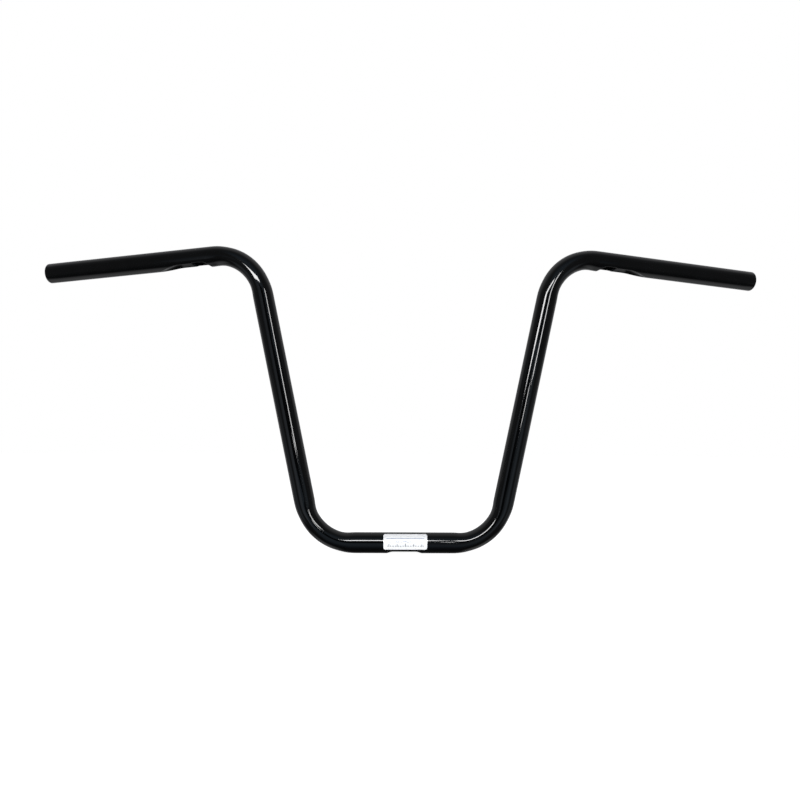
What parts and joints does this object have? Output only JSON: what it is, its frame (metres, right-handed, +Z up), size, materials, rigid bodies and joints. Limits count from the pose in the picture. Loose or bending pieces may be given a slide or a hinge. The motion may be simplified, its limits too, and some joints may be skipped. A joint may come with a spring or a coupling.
{
  "type": "motorcycle handlebar",
  "caption": "Tall bent-tube motorcycle handlebar, gloss black, with swept-back grip sections, wiring holes, pressed wiring grooves and a thin metallic label.",
  "frame": {"origin": "on the tube's axis, in the middle of the clamp section", "axes": "+X along the clamp section to the right as seen from the front, +Y back towards the rider, the way the grip sections sweep, +Z up in the plane of the legs"},
  "size_m": [0.9376, 0.0981, 0.3794],
  "materials": {
    "tube": "gloss",
    "label": "satin"
  },
  "bodies": {
    "root": {"handlebar_tube": "tube", "label": "label"}
  },
  "joints": []
}
